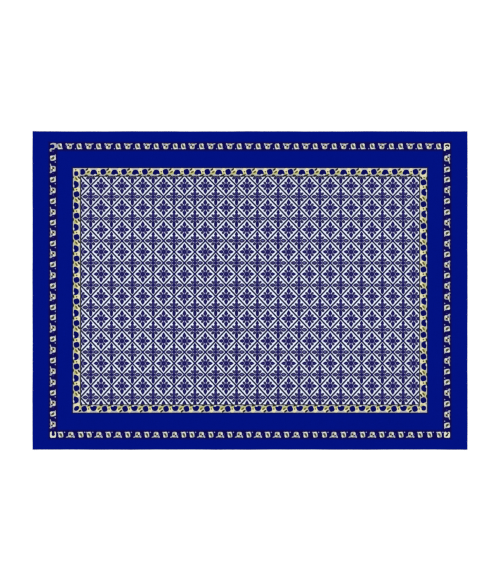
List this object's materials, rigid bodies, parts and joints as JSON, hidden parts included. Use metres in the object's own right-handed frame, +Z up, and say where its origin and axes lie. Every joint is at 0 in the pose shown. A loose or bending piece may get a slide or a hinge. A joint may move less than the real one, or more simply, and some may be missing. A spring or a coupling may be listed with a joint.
{
  "type": "kanga wrap cloth",
  "caption": "Flat rectangular printed cotton wrap cloth with turned end hems and woven side edges, laid out face up.",
  "frame": {"origin": "middle of the cloth's footprint, on the surface that it lies on", "axes": "+X along the cloth's length, +Y across it towards the top of its design, +Z up out of the printed face"},
  "size_m": [1.5, 1.098, 0.0024],
  "materials": {
    "printed_cotton": "matt plain-weave cotton with a printed blue ground, borders and lattice",
    "sewing_thread": "matt blue sewing thread of the end hems"
  },
  "bodies": {
    "root": {"kanga_cloth": "printed_cotton"}
  },
  "joints": []
}
